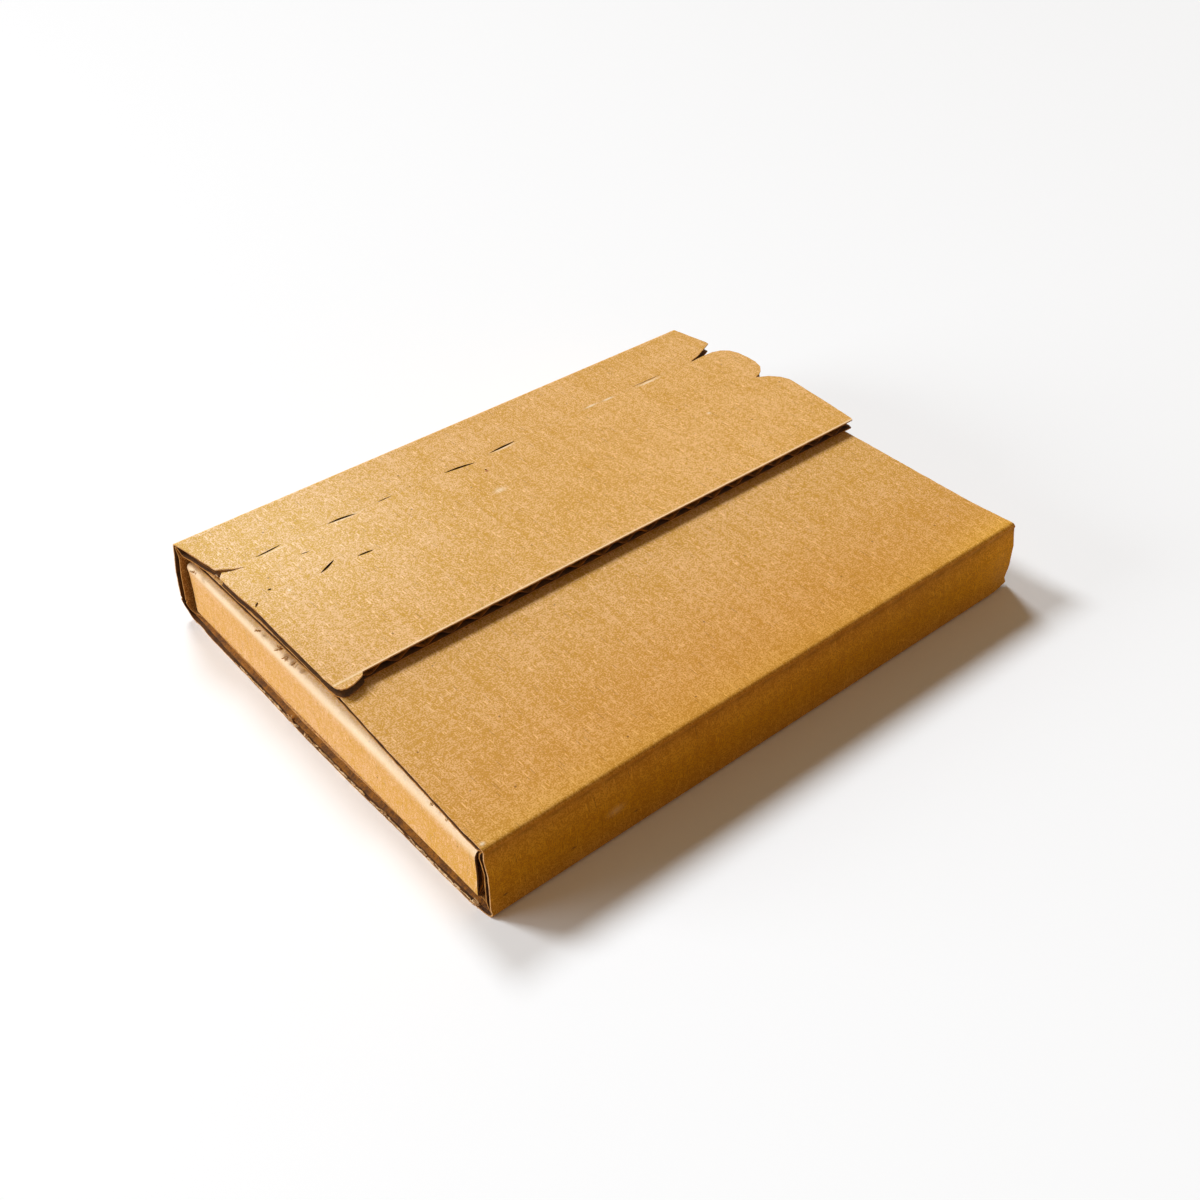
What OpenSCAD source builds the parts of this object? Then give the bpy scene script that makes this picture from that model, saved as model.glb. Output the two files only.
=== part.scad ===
// Corrugated mailer box, closed, with a perforated tear strip across its flap.
// An outer wrap of one folded sheet holds an inner tray of a second one.
// Millimetres. Length along X, front wall at -Y, base on Z = 0.

/* [Box] */
// length of the wrap's walls, along the folds
box_l = 145.4; // [120:0.2:200]
// depth over the base, from the front wall's face to the back wall's face
box_w = 112.2; // [95:0.2:150]
// height at the front fold
front_h = 16.6; // [14:0.2:30]
// how far the top panel rises from the front fold to where the flap lies on it
panel_rise = 1.44; // [0:0.02:4]
// how far the front and back walls bulge out below their top folds
bulge = 1.4; // [0.2:0.1:2]
// height over which they come out
bulge_h = 2.6; // [2.6:0.2:3.4]

/* [Board] */
// thickness of the corrugated board
board_t = 2.4; // [2.2:0.1:2.9]
// thickness of the top panel, pressed flatter by handling
pressed_t = 1.7; // [1.5:0.1:2]
// thickness of each outer liner
liner_t = 0.38; // [0.3:0.02:0.46]
// thickness of the wavy medium between the liners
medium_t = 0.34; // [0.26:0.02:0.4]
// length of one flute, from trough to trough
flute_l = 6.52; // [5.6:0.02:7.4]
// depth of the open groove along the cut side edges
groove_d = 1.6; // [0.8:0.1:2.4]
// inside radius of a tight fold
fold_r = 0.4; // [0.2:0.1:0.8]
// outside radius of a tight fold
edge_r = 1; // [0.6:0.1:1.6]
// outside radius of the fold along the top of each end wall
top_edge_r = 2; // [1:0.1:2.2]
// inside radius of the soft fold at the back wall's foot
soft_fold_r = 2.2; // [1:0.1:3.4]

/* [Outer wrap] */
// how far the base's cut edges stand out past the walls, at each end
base_out = 1; // [0.7:0.1:1.5]
// how far the top panel's side edges are cut back from the walls
panel_in = 1.3; // [0.4:0.1:2]
// length of the crushed corner at the front wall's right foot
crush_l = 3.4; // [1:0.2:5]
// height of the crushed corner
crush_h = 1.2; // [0.6:0.1:1.8]
// space between the top panel's free edge and the back wall
panel_gap = 1.4; // [1:0.2:30]
// thin air gap between the closing flap and the top panel
seal_gap = 0.16; // [0.1:0.02:0.3]

/* [Closing flap] */
// reach of the flap, from the back fold to its front edge
flap_d = 61; // [54:0.2:75]
// inset of the flap's left edge from the end of the walls
flap_in = 1.6; // [0.8:0.1:3]
// inset of the flap's right edge at the back fold
flap_back_in = 0.9; // [0.2:0.1:1.6]
// length over which the left edge draws in from the back fold
flap_neck = 7; // [4:0.2:9]
// how far the flap's right edge stands out in front of the tear strip
flap_out = 3.3; // [2:0.1:4]
// how far its right front corner stands out
corner_out = 0.8; // [0:0.1:1.6]
// distance of the widest point in front of the tear strip
ear_d = 8; // [6:0.2:12]
// length of the ear's sloping rear end
ear_l = 2.6; // [1.4:0.1:4]
// radius of the flap's left front corner
corner_r = 3.6; // [2:0.1:5]
// length of the stub left at that corner, up to the nick
nick_l = 7; // [5.5:0.1:9]
// how far the stub stands out past the front edge
nick_d = 1.6; // [0.3:0.1:2]

/* [Tear strip] */
// distance of the rear line of cuts from the back fold
tear_d = 15.8; // [13:0.2:18]
// width of the strip between its two lines of cuts
tear_w = 14.2; // [12:0.2:17]
// width of a cut that has opened
slit_w = 0.4; // [0.3:0.05:0.7]
// length of the longest opened cut
slit_l = 7.4; // [5:0.2:8]
// width of the torn mouth at the strip's left end
tear_gap = 3; // [2:0.1:4]
// length of that tear into the flap
tear_l = 6; // [3:0.2:9]
// length of the small tear at the front line of cuts
nip_l = 2.4; // [1:0.1:4]
// length of the hook at the end of a cut
hook_l = 2; // [1:0.1:3]
// how far the pull tab stands out past the end of the walls
tab_out = 3; // [2:0.1:5]
// radius of the pull tab's two corners
tab_r = 4.8; // [2:0.1:6]
// length of the open notch behind the pull tab
notch_l = 9.6; // [6:0.1:12]
// width of that notch at its mouth
notch_w = 4; // [2:0.2:6]
// depth of the gap in front of the pull tab
tab_gap_l = 4.6; // [3:0.1:8]
// how far the tab reaches forward past the front line of cuts
tab_lap = 1.4; // [0.6:0.1:2.4]

/* [Inner tray] */
// how far the end walls stand out past the wrap's walls
tray_out = 0.2; // [0:0.1:0.6]
// gap between the end walls and the front wall
front_gap = 0.9; // [0.6:0.1:1.5]
// gap between the end walls and the back wall
back_gap = 0.3; // [0.2:0.1:1.5]
// gap under the top panel at the front fold and at the back
tray_gap = 0.12; // [0.08:0.02:0.3]
// length of the flaps that fold in over the contents
return_l = 36; // [20:1:50]

/* [Hidden] */
$fn = 48;
over = 1;
kraft = [0.76, 0.6, 0.4];
kraft_inner = [0.72, 0.55, 0.36];

// positions along Y and Z
y_front = -box_w / 2;
y_top = y_front + bulge;
y_back = box_w / 2;
y_fold = y_back - bulge;
fold_out = fold_r + board_t;
soft_out = soft_fold_r + board_t;
half_l = box_l / 2;
y_edge = y_fold - flap_d;
panel_z = front_h + panel_rise;
flap_z = panel_z + seal_gap;
back_h = flap_z + board_t;
panel_end = y_fold - board_t - panel_gap;

// the whole box is centred over its base, tab included
half_base = half_l + base_out;
far_right = half_l + max(tab_out, flap_out);
centre_x = (half_base - far_right) / 2;

// the wave of the medium
mid_t = board_t / 2;
wave_a = (board_t - 2 * liner_t - medium_t) / 2;
thin = 0.08;
wave_end = acos((liner_t + thin - mid_t + medium_t / 2) / wave_a);
gap_half = flute_l * wave_end / 360;
gap_steps = 10;
first_trough = -half_l + 0.46 * flute_l;
flutes = floor((half_l + flap_out - first_trough) / flute_l);

// lines of cuts across the flap
y_tear = y_fold - tear_d;
y_tear_front = y_tear - tear_w;
tab_front = tear_w + tab_lap;

// tray
tray_front = y_top + board_t + front_gap;
tray_back = y_fold - board_t - back_gap;
tray_w = tray_back - tray_front;
tray_top_front = front_h - pressed_t - tray_gap;
tray_top_back = panel_z - pressed_t - tray_gap;
tray_rise = atan((tray_top_back - tray_top_front) / tray_w);
half_tray = half_l + tray_out;
floor_back = y_back - soft_out - tray_gap;

// a flat outline in Y and Z, drawn out along X and centred
module along_x(l) {
  translate([-l / 2, 0, 0])
    rotate([90, 0, 90])
      linear_extrude(height = l)
        children();
}

// a flat outline in X and Z, drawn out along Y from y0
module along_y(y0, l) {
  translate([0, y0 + l, 0])
    rotate([90, 0, 0])
      linear_extrude(height = l)
        children();
}

// a tight quarter fold, seen from its side, pinched to a small outside radius
module tight_fold(r) {
  intersection() {
    difference() {
      union() {
        square([fold_out, fold_out - r]);
        square([fold_out - r, fold_out]);
        translate([fold_out - r, fold_out - r])
          circle(r = r);
      }
      circle(r = fold_r);
    }
    square(fold_out);
  }
}

// a soft quarter fold, as thick as the board
module soft_fold() {
  intersection() {
    difference() {
      circle(r = soft_out);
      circle(r = soft_fold_r);
    }
    square(soft_out + over);
  }
}

// base with both of its folds left off
module base_section() {
  translate([y_front + fold_out, 0])
    square([box_w - fold_out - soft_out, board_t]);
}

// a wall, its foot's face at 0: it comes out below the top fold, then stands straight
module wall_profile(foot, top, inset) {
  low = inset > 0 ? foot + groove_d : foot;
  tip = inset > 0 ? top - groove_d : top;
  bend = top - bulge_h;
  lean = (tip - bend) * bulge / bulge_h;
  polygon([
    [inset, low],
    [inset, bend],
    [lean + inset, tip],
    [lean + board_t - inset, tip],
    [board_t - inset, bend],
    [board_t - inset, low]
  ]);
}

module front_section(inset) {
  translate([y_front, 0])
    wall_profile(fold_out, front_h - fold_out, inset);
}

module back_section(inset) {
  translate([y_back, 0])
    mirror([1, 0])
      wall_profile(soft_out, back_h - fold_out, inset);
}

// both walls and the four folds
module wall_section() {
  translate([y_front + fold_out, fold_out])
    rotate(180)
      tight_fold(edge_r);
  front_section(0);
  translate([y_top + fold_out, front_h - fold_out])
    rotate(90)
      tight_fold(edge_r);
  translate([y_back - soft_out, soft_out])
    rotate(-90)
      soft_fold();
  back_section(0);
  translate([y_fold - fold_out, back_h - fold_out])
    tight_fold(edge_r);
}

// top panel: up from the front fold, then level under the flap
module panel_section(inset) {
  lift = inset > 0 ? fold_out + groove_d : fold_out;
  rise = (panel_z - front_h) * (lift - fold_out) / (y_edge - y_top - fold_out);
  polygon([
    [y_top + lift, front_h + rise - pressed_t + inset],
    [y_edge, panel_z - pressed_t + inset],
    [panel_end - inset, panel_z - pressed_t + inset],
    [panel_end - inset, panel_z - inset],
    [y_edge, panel_z - inset],
    [y_top + lift, front_h + rise - inset]
  ]);
}

// the hollow between the liners along the side edges, closed at each fold
module groove_section() {
  open_t = board_t - 2 * liner_t;
  translate([y_front + fold_out + groove_d, liner_t])
    square([box_w - fold_out - soft_out - 2 * groove_d, open_t]);
  front_section(liner_t);
  back_section(liner_t);
}

// air under one crest of the medium, from the lower liner to the wave
module flute_gap() {
  polygon(concat(
    [[gap_half, liner_t], [-gap_half, liner_t]],
    [for (i = [0:gap_steps])
      let (x = gap_half * (2 * i / gap_steps - 1))
      [x, mid_t - medium_t / 2 + wave_a * cos(360 * x / flute_l)]]
  ));
}

// all the flutes of the closing flap, open at its front edge
module flap_flutes() {
  along_y(y_edge - nick_d - over, flap_d + nick_d + over - fold_out - groove_d)
    translate([first_trough, flap_z])
      for (i = [-1:flutes]) {
        translate([(i + 0.5) * flute_l, 0])
          flute_gap();
        translate([(i + 1) * flute_l, board_t])
          mirror([0, 1])
            flute_gap();
      }
}

// the flap's outline, without the pull tab
module flap_outline() {
  difference() {
    union() {
      polygon([
        [-half_l, y_fold - fold_out],
        [-half_l + flap_in, y_fold - flap_neck],
        [-half_l + flap_in, y_edge],
        [half_l + corner_out, y_edge],
        [half_l + flap_out, y_tear_front - ear_d],
        [half_l + 0.8 * flap_out, y_tear_front - ear_d + ear_l],
        [half_l - tab_gap_l / 2, y_tear - tab_front],
        [half_l - notch_l, y_tear - notch_w / 4],
        [half_l - notch_l, y_tear + slit_w],
        [half_l + flap_back_in / 2, y_tear + notch_w],
        [half_l - flap_back_in, y_fold - fold_out]
      ]);
      translate([-half_l + flap_in + corner_r, y_edge - nick_d])
        square([nick_l - corner_r, nick_d + corner_r]);
      translate([-half_l + flap_in + corner_r, y_edge - nick_d + corner_r])
        circle(r = corner_r);
    }
    difference() {
      translate([-half_l, y_edge - over])
        square([flap_in + corner_r, over + corner_r - nick_d]);
      translate([-half_l + flap_in + corner_r, y_edge - nick_d + corner_r])
        circle(r = corner_r);
    }
    left_tear();
  }
}

// the strip's two torn ends at the flap's left edge
module left_tear() {
  x = -half_l + flap_in;
  polygon([
    [x - over, y_tear + 0.4 * tear_gap],
    [x + 0.2 * tear_gap, y_tear + 0.4 * tear_gap],
    [x + tear_l, y_tear - 0.6 * tear_gap],
    [x + 0.4 * tear_gap, y_tear - 0.15 * tear_gap],
    [x, y_tear - 0.6 * tear_gap],
    [x - over, y_tear - 0.6 * tear_gap]
  ]);
  polygon([
    [x - over, y_tear_front],
    [x + nip_l, y_tear_front + nip_l / 2],
    [x - over, y_tear_front - slit_w]
  ]);
}

// pull tab at the strip's right end
module pull_tab() {
  translate([half_l - notch_l - over, y_tear - tab_front + tab_r])
    square([notch_l + over + tab_out, tab_front - 2 * tab_r]);
  translate([half_l - notch_l - over, y_tear - tab_front])
    square([notch_l + over + tab_out - tab_r, tab_front]);
  translate([half_l + tab_out - tab_r, y_tear - tab_r])
    circle(r = tab_r);
  translate([half_l + tab_out - tab_r, y_tear - tab_front + tab_r])
    circle(r = tab_r);
}

// the narrow gap that parts the tab from the flap in front of it
module tab_cut() {
  polygon([
    [half_l - tab_gap_l, y_tear - tab_front + slit_w / 2],
    [half_l + flap_out + over, y_tear - tab_front + tab_lap],
    [half_l + flap_out + over, y_tear - tab_front - tab_lap / 2],
    [half_l - tab_gap_l / 2, y_tear - tab_front - slit_w]
  ]);
}

// one opened cut with a hook that turns into the strip
module slit(l, side) {
  translate([0, -slit_w / 2])
    square([l, slit_w]);
  translate([l - slit_w / 2, 0])
    rotate(side * 38)
      translate([0, -slit_w / 2])
        square([hook_l, slit_w]);
}

// opened cuts: shares of the box's length, and of the longest cut
module open_slits() {
  for (s = [[0.072, 0.86], [0.196, 0.86], [0.284, 0.54], [0.407, 0.97], [0.494, 1], [0.802, 0.95]])
    translate([-half_l + s[0] * box_l, y_tear])
      slit(s[1] * slit_l, -1);
  for (s = [[0.125, 0.43], [0.186, 0.49]])
    translate([-half_l + s[0] * box_l, y_tear_front])
      slit(s[1] * slit_l, 1);
}

module closing_flap() {
  difference() {
    translate([0, 0, flap_z])
      linear_extrude(height = board_t)
        difference() {
          union() {
            flap_outline();
            pull_tab();
          }
          tab_cut();
          open_slits();
        }
    flap_flutes();
  }
}

// the fold worn away at the front wall's right foot
module crushed_corner() {
  along_y(y_front - over, fold_out + over)
    polygon([
      [half_l - crush_l, -over],
      [half_l - crush_l, 0],
      [half_l - crush_h / 2, crush_h],
      [half_l + over, 2 * crush_h],
      [half_l + over, -over]
    ]);
}

module outer_wrap() {
  panel_l = box_l - 2 * panel_in;
  color(kraft)
    translate([centre_x, 0, 0])
      union() {
        closing_flap();
        difference() {
          union() {
            along_x(box_l)
              wall_section();
            along_x(2 * half_base)
              base_section();
            along_x(panel_l)
              panel_section(0);
          }
          crushed_corner();
          for (side = [-1, 1]) {
            translate([side * half_base, 0, 0])
              along_x(2 * (groove_d + base_out))
                groove_section();
            translate([side * panel_l / 2, 0, 0])
              along_x(2 * groove_d)
                panel_section(liner_t);
          }
        }
      }
}

// an end wall's foot: the fold up from the tray's floor
module tray_foot() {
  along_y(tray_front, floor_back - tray_front)
    translate([half_tray - fold_out, board_t + fold_out])
      rotate(-90)
        tight_fold(edge_r);
}

// an end wall, lower at the front than at the back
module tray_wall() {
  translate([half_tray - board_t / 2, 0, 0])
    along_x(board_t)
      polygon([
        [tray_front, board_t + fold_out],
        [tray_back, board_t + fold_out],
        [tray_back, tray_top_back - fold_out],
        [tray_front, tray_top_front - fold_out]
      ]);
}

// an end wall's top fold and the flap that turns in from it
module tray_return() {
  intersection() {
    translate([0, tray_front, tray_top_front])
      rotate([tray_rise, 0, 0])
        along_y(-over, tray_w + 2 * over)
          union() {
            translate([half_tray - fold_out, -fold_out])
              tight_fold(top_edge_r);
            translate([half_tray - return_l, -board_t])
              square([return_l - fold_out, board_t]);
          }
    translate([0, tray_front, 0])
      cube([half_tray + over, tray_w, back_h]);
  }
}

module tray_end() {
  tray_foot();
  tray_wall();
  tray_return();
}

module inner_tray() {
  color(kraft_inner)
    translate([centre_x, 0, 0])
      union() {
        translate([-half_tray + fold_out, tray_front, board_t])
          cube([2 * (half_tray - fold_out), floor_back - tray_front, board_t]);
        tray_end();
        mirror([1, 0, 0])
          tray_end();
      }
}

outer_wrap();
inner_tray();
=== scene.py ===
import math

import bpy
import numpy as np
from mathutils import Matrix, Vector, noise
from mathutils.geometry import delaunay_2d_cdt


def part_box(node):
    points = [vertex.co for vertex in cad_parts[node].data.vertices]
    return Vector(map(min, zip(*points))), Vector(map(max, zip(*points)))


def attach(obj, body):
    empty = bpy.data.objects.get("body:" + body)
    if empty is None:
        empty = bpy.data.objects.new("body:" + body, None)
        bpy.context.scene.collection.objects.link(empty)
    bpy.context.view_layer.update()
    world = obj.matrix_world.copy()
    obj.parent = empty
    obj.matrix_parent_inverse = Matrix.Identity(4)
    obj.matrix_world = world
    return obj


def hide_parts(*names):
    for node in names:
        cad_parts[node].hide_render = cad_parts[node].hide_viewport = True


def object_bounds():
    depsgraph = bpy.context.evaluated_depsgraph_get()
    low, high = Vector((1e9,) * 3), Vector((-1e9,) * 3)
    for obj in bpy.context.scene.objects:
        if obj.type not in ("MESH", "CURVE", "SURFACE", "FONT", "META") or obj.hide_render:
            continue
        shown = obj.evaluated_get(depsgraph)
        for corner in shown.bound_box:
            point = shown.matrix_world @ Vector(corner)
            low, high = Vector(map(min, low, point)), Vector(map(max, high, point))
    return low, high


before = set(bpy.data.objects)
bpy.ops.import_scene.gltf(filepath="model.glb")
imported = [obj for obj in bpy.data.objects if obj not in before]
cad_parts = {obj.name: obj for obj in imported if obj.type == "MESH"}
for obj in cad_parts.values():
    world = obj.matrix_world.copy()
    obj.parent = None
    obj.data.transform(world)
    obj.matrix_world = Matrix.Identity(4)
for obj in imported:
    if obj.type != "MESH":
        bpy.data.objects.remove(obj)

cad_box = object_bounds()
mm = 0.001


# ---- Outer wrap -----------------------------------------------------------
# One sheet of B-flute corrugated kraft board, folded round the tray: top panel,
# front wall, base, back wall and the flap that is glued down over the panel.
# Two liners with a wavy medium between them; all edges are die cut.

board = 2.4
pressed = 1.7       # the top panel was pressed flatter
liner = 0.31
medium = 0.27
flute = 6.52
tight = 1.0         # radius of the sharp folds
soft = 4.6          # radius of the fold between base and back wall
wall_end = 72.7
base_end = 73.7
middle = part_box("outer_wrap")[0].x / mm + base_end
trough = -wall_end + 0.46 * flute
front, front_foot = -54.65, -55.95
back, back_foot = 54.65, 56.0
front_top = 16.58
flap_gap = 0.18
flap_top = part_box("outer_wrap")[1].z / mm
panel_top = flap_top - board - flap_gap
flap_edge = -6.3
flap_left = 72.5    # from the middle to the flap's left end
flap_start = 0.65   # the flap's flat starts this far in front of the back face

# the folded sheet's outer face seen from the side: flats between (y, z) points,
# and quarter turns given by centre, radius and starting angle
wrap_side = [
    ("flat", (50.8, panel_top), (flap_edge, panel_top)),
    ("flat", (flap_edge, panel_top), (front + tight, front_top)),
    ("turn", (front + tight, front_top - tight), tight, 90),
    ("flat", (front, front_top - tight), (front - 0.1, 13.9)),
    ("flat", (front - 0.1, 13.9), (front_foot, 10.6)),
    ("flat", (front_foot, 10.6), (front_foot, tight)),
    ("turn", (front_foot + tight, tight), tight, 180),
    ("flat", (front_foot + tight, 0), (back_foot - soft, 0)),
    ("turn", (back_foot - soft, soft), soft, 270),
    ("flat", (back_foot, soft), (back_foot, 12.0)),
    ("flat", (back_foot, 12.0), (back, flap_top - tight)),
    ("turn", (back - tight, flap_top - tight), tight, 0),
    ("flat", (back - tight, flap_top), (flap_edge - 3.4, flap_top)),
]


def part_starts(side):
    """Distance along the sheet at which each flat or turn starts."""
    starts = [0.0]
    for part in side:
        length = math.dist(part[1], part[2]) if part[0] == "flat" else part[2] * math.pi / 2
        starts.append(starts[-1] + length)
    return starts


def follow(side, starts, s):
    """Points on the folded sheet's outer face at distances s, and the way into the board."""
    s = np.asarray(s, float)
    point = np.zeros((len(s), 2))
    inward = np.zeros((len(s), 2))
    for i, part in enumerate(side):
        here = (s >= starts[i]) if i else np.ones(len(s), bool)
        t = (s[here] - starts[i]) / (starts[i + 1] - starts[i])
        if part[0] == "flat":
            p, q = np.array(part[1], float), np.array(part[2], float)
            along = (q - p) / np.linalg.norm(q - p)
            point[here] = p + t[:, None] * (q - p)
            inward[here] = (-along[1], along[0])
        else:
            turn = np.radians(part[3] + 90 * t)
            out = np.stack([np.cos(turn), np.sin(turn)], 1)
            point[here] = np.array(part[1]) + part[2] * out
            inward[here] = -out
    return point, inward


wrap_starts = part_starts(wrap_side)
(panel_s, slope_s, top_fold_s, front_s, bulge_s, wall_s, foot_fold_s,
 base_s, soft_fold_s, back_s, lean_s, back_fold_s, flap_s, wrap_end_s) = wrap_starts


def bump_at(s, centre, width):
    """1 at the centre, falling off smoothly over the width."""
    return np.exp(-((s - centre) / width) ** 2)


def pinch(s, start, end, radius):
    """Board thickness allowed near a fold: it is crushed where it turns."""
    away = np.maximum(np.maximum(start - s, s - end), 0)
    return 0.92 * radius + 0.82 * away


def wrap_thickness(s):
    """The board is flatter where it was pressed, and crushed along each fold."""
    t = np.where(s < top_fold_s, pressed, board)
    for start, end in ((top_fold_s, front_s), (foot_fold_s, base_s), (back_fold_s, flap_s)):
        t = np.minimum(t, pinch(s, start, end, tight))
    return t - 0.35 * bump_at(s, (soft_fold_s + back_s) / 2, 4)


def slow_noise(x, s, size, seed):
    """Gentle unevenness from -1 to 1 over distances of about size."""
    return np.array([noise.noise(Vector((a / size, b / size, seed))) for a, b in zip(x, s)])


def wrap_sink(x, s):
    """How far the sheet's face lies below its straight place, in millimetres."""
    sink = 0.03 + 0.03 * slow_noise(x, s, 34, 2.5)
    # the flap dips at its front left corner, and a little along its two lines of cuts
    on_flap = s > flap_s
    d = s - flap_s + flap_start
    left_corner = np.exp(-(((x + 72) / 13) ** 2 + ((d - 63) / 9) ** 2))
    sink = sink + on_flap * (0.36 * left_corner + 0.03)
    sink = sink + on_flap * 0.03 * (bump_at(d, 15.6, 0.9) + bump_at(d, 29.6, 0.8))
    # the front wall is uneven, most of all where it was creased below its top fold
    wall = (s > front_s) & (s < foot_fold_s)
    crease = (0.10 + 0.16 * slow_noise(x, s, 6, 3.5)) * bump_at(s, front_s + 0.9, 0.6)
    sink = sink + wall * (0.10 + 0.08 * slow_noise(x, s, 20, 7.5) + crease)
    # it is straighter at its two ends, and its right foot is worn
    near_end = np.exp(-((wall_end - np.abs(x)) / 5) ** 2)
    low = np.interp(s, [bulge_s, wall_s, base_s, base_s + 6], [0, 1, 1, 0])
    sink = sink + np.where(x > 0, 0.7, 0.28) * near_end * low * (s < foot_fold_s)
    at_foot = np.interp(s, [foot_fold_s - 4, foot_fold_s, base_s, base_s + 7], [0, 1, 1, 0])
    worn = np.clip((x - 67.5) / 5.5, 0, 1) ** 1.2 * at_foot
    return np.clip(sink, 0, 2) + 0.6 * worn


def inner_depth(x, s):
    """Depth of the sheet's inner face: the front wall's board is crushed thinner at its two ends."""
    on_wall = np.interp(s, [front_s, front_s + 3, foot_fold_s - 2, foot_fold_s], [0, 1, 1, 0])
    crush = 0.8 * np.exp(-((wall_end - np.abs(x)) / 4) ** 2) * on_wall
    return np.maximum(wrap_thickness(s) - crush, 2.2 * liner)


def wrap_place(x, s, depth):
    """Where a point of the flat sheet comes to lie once it is folded, in metres."""
    point, inward = follow(wrap_side, wrap_starts, s)
    sink = wrap_sink(x, s) + depth
    at = point + sink[:, None] * inward
    return np.column_stack([x + middle, at[:, 0], at[:, 1]]) * mm


def flap_point(along, deep):
    """A place on the flap, from its left end and from the back face, on the flat sheet."""
    return (along - flap_left, flap_s + deep - flap_start)


def base_point(x, y):
    """A place on the base."""
    return (x, base_s + y - (front_foot + tight))


def panel_point(x, y):
    """A place on the top panel in front of the flap."""
    return (x, slope_s + flap_edge - y)


# the die-cut outline, from the hidden end of the top panel to the flap's front edge
left_edge = [
    (-70.6, panel_s), (-70.75, slope_s), panel_point(-71.5, -21.0), panel_point(-72.25, -37.5),
    panel_point(-72.75, -49), (-72.8, top_fold_s), (-72.7, front_s), (-72.75, bulge_s), (-72.7, foot_fold_s),
    (-72.9, base_s - 0.4), base_point(-73.1, front_foot + 2), base_point(-73.5, -50), base_point(-73.55, -42),
    base_point(-73.45, -30), base_point(-73.57, -10), base_point(-73.42, 8), base_point(-72.85, 27),
    base_point(-72.5, 45), base_point(-72.1, 50.5), (-72.4, soft_fold_s + 4), (-72.9, back_s),
    (-72.7, back_s + 0.5), (-72.9, back_s + 0.9), (-72.75, lean_s), (-72.6, back_fold_s),
    flap_point(0.0, 0.65), flap_point(0.35, 3.0), flap_point(0.9, 5.8), flap_point(1.5, 10.0),
    # the torn end of the back line of cuts
    flap_point(2.15, 14.2), flap_point(3.4, 15.0), flap_point(5.2, 16.3), flap_point(7.5, 17.4),
    flap_point(5.0, 16.9), flap_point(3.6, 16.4), flap_point(2.7, 15.9), flap_point(1.5, 17.2),
    flap_point(1.4, 23.5), flap_point(1.65, 28.8), flap_point(1.7, 32.3), flap_point(1.35, 41.6),
    flap_point(1.15, 52.0), flap_point(1.05, 58.6),
    # the ear at the front left corner, and the nick beside it
    flap_point(1.25, 61.0), flap_point(1.9, 62.2), flap_point(3.0, 62.6), flap_point(4.6, 62.4),
    flap_point(6.6, 61.7), flap_point(7.3, 61.3), flap_point(7.7, 60.6),
]
right_edge = [
    (71.4, panel_s), (71.4, slope_s), (71.9, top_fold_s - 10), (72.8, top_fold_s), (73.3, front_s),
    (73.4, front_s + 5), (73.3, foot_fold_s - 0.2),
    # the worn foot
    (71.5, foot_fold_s + 0.6), (70.4, base_s), base_point(70.6, -53.4), base_point(72.6, -52),
    base_point(73.5, -50), base_point(73.6, 40), base_point(73.3, 50), (73.0, soft_fold_s + 4), (72.7, back_s),
    (72.5, lean_s), (71.9, back_fold_s), flap_point(144.1, 0.65), flap_point(144.5, 3.2),
    # the tear strip's pull tab, with a notch on each side
    flap_point(145.7, 10.3), flap_point(145.7, 11.4), flap_point(143.0, 12.6), flap_point(139.0, 14.4),
    flap_point(136.2, 15.05), flap_point(136.1, 15.45), flap_point(140.0, 15.2), flap_point(143.4, 15.3),
    flap_point(145.6, 16.1), flap_point(147.2, 17.6), flap_point(148.1, 20.0), flap_point(148.35, 23.0),
    flap_point(148.2, 26.0), flap_point(147.4, 28.4), flap_point(146.0, 30.0), flap_point(144.4, 31.0),
    flap_point(142.8, 31.4), flap_point(143.4, 31.9), flap_point(145.6, 33.2), flap_point(147.5, 35.4),
    flap_point(148.35, 37.6), flap_point(148.2, 40.0), flap_point(147.2, 50.0), flap_point(146.1, 59.8),
    flap_point(145.8, 60.6),
]
# the opened cuts of the two perforated lines: start, bend and end, measured as in
# flap_point, and the width to which each has opened
cuts = [
    ((10.4, 15.8), (13.9, 15.75), (17.1, 15.3), 0.34), ((28.4, 15.4), (32.0, 15.35), (35.5, 16.2), 0.48),
    ((41.2, 15.6), (43.0, 15.5), (45.0, 15.6), 0.22), ((58.9, 15.8), (63.2, 16.0), (67.1, 17.0), 0.5),
    ((71.7, 15.9), (76.0, 15.7), (79.5, 15.6), 0.46), ((116.2, 15.0), (121.0, 15.1), (125.9, 15.0), 0.14),
    ((18.0, 29.4), (20.2, 28.6), (22.7, 27.2), 0.46), ((27.0, 29.4), (29.0, 29.45), (30.9, 29.7), 0.4),
    ((18.2, 21.1), (19.3, 21.2), (20.4, 21.4), 0.2), ((6.8, 27.2), (7.2, 27.25), (7.7, 27.4), 0.42),
    ((66.8, 20.7), (67.0, 20.8), (67.3, 20.9), 0.26), ((2.1, 30.6), (2.7, 29.9), (3.3, 29.3), 0.36),
]


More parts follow.
